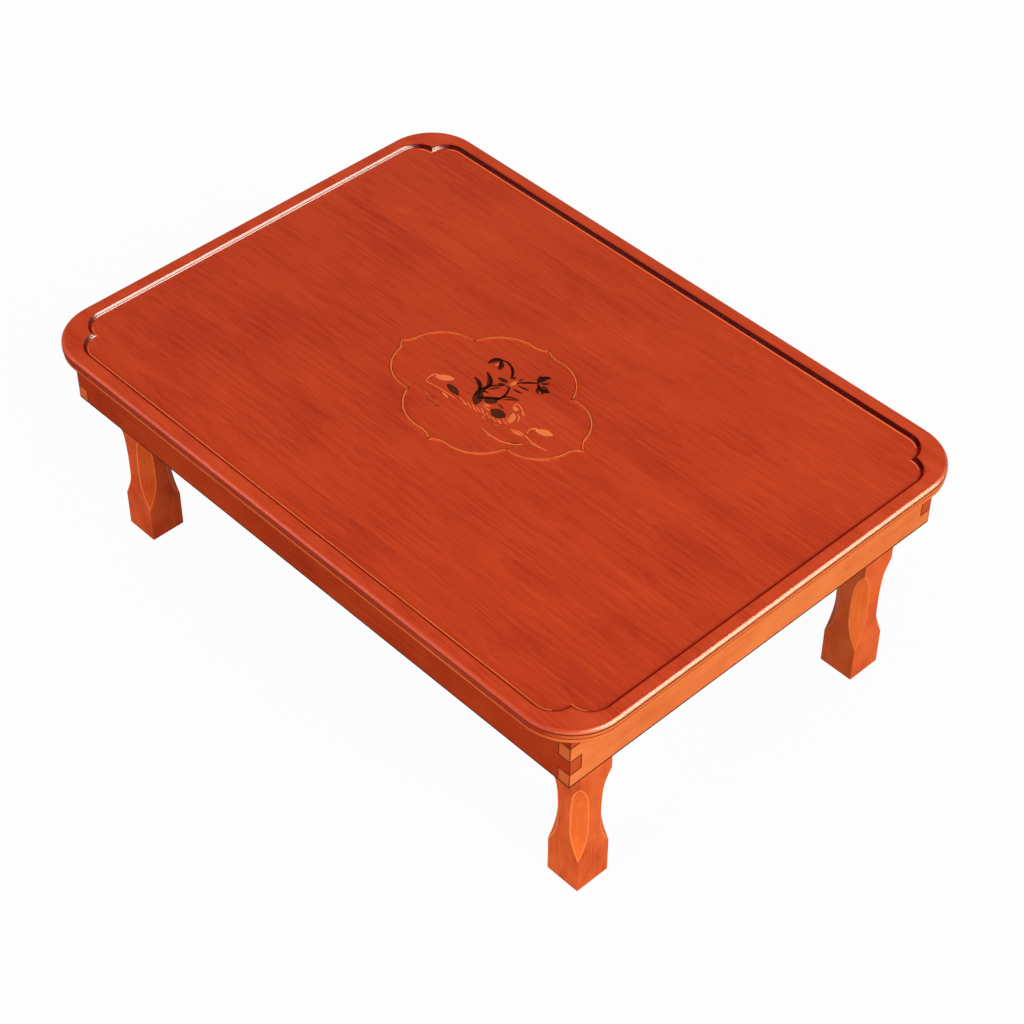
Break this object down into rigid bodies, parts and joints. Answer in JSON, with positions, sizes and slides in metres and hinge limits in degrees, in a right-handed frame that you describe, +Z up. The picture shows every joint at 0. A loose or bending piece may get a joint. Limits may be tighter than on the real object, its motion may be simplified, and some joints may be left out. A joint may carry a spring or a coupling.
{
  "type": "folding coffee table",
  "caption": "Low rectangular wooden table with a raised rim, inlaid medallion and legs that fold inward under the top for storage.",
  "frame": {"origin": "on the floor under the middle of the table", "axes": "+X along the long side, +Y across the table, +Z up; the picture is taken from the -Y, +X corner"},
  "size_m": [0.85, 0.6, 0.305],
  "materials": {
    "lacquered_wood": "semi-gloss clear lacquer over red-brown stain",
    "inlay_brown": "dark stained veneer, flush",
    "inlay_pale": "light veneer, flush",
    "zinc_steel": "zinc plated"
  },
  "bodies": {
    "frame": {"tabletop": "lacquered_wood", "medallion_line": "inlay_pale", "inlay_dark": "inlay_brown", "inlay_light": "inlay_pale", "apron_front": "lacquered_wood", "apron_back": "lacquered_wood", "apron_left": "lacquered_wood", "apron_right": "lacquered_wood", "corner_block_front_left": "lacquered_wood", "corner_block_front_right": "lacquered_wood", "corner_block_back_left": "lacquered_wood", "corner_block_back_right": "lacquered_wood", "hinge_bracket_front_left": "zinc_steel", "pivot_pin_front_left": "zinc_steel", "hinge_washers_front_left": "zinc_steel", "leg_spring_front_left": "zinc_steel", "hinge_screws_front_left": "zinc_steel", "hinge_bracket_front_right": "zinc_steel", "pivot_pin_front_right": "zinc_steel", "hinge_washers_front_right": "zinc_steel", "leg_spring_front_right": "zinc_steel", "hinge_screws_front_right": "zinc_steel", "hinge_bracket_back_left": "zinc_steel", "pivot_pin_back_left": "zinc_steel", "hinge_washers_back_left": "zinc_steel", "leg_spring_back_left": "zinc_steel", "hinge_screws_back_left": "zinc_steel", "hinge_bracket_back_right": "zinc_steel", "pivot_pin_back_right": "zinc_steel", "hinge_washers_back_right": "zinc_steel", "leg_spring_back_right": "zinc_steel", "hinge_screws_back_right": "zinc_steel", "centre_batten": "lacquered_wood", "batten_screws": "zinc_steel"},
    "leg_front_left": {"leg_front_left": "lacquered_wood"},
    "leg_front_right": {"leg_front_right": "lacquered_wood"},
    "leg_back_left": {"leg_back_left": "lacquered_wood"},
    "leg_back_right": {"leg_back_right": "lacquered_wood"}
  },
  "joints": [
    {"name": "leg_fold_front_left", "type": "hinge", "parent": "frame", "child": "leg_front_left", "pos_m": [-0.3516, -0.2177, 0.252], "axis": [0, -1, 0], "range_deg": [0, 90]},
    {"name": "leg_fold_front_right", "type": "hinge", "parent": "frame", "child": "leg_front_right", "pos_m": [0.3516, -0.2177, 0.252], "axis": [0, 1, 0], "range_deg": [0, 90]},
    {"name": "leg_fold_back_left", "type": "hinge", "parent": "frame", "child": "leg_back_left", "pos_m": [-0.3516, 0.2177, 0.252], "axis": [0, -1, 0], "range_deg": [0, 90]},
    {"name": "leg_fold_back_right", "type": "hinge", "parent": "frame", "child": "leg_back_right", "pos_m": [0.3516, 0.2177, 0.252], "axis": [0, 1, 0], "range_deg": [0, 90]}
  ]
}
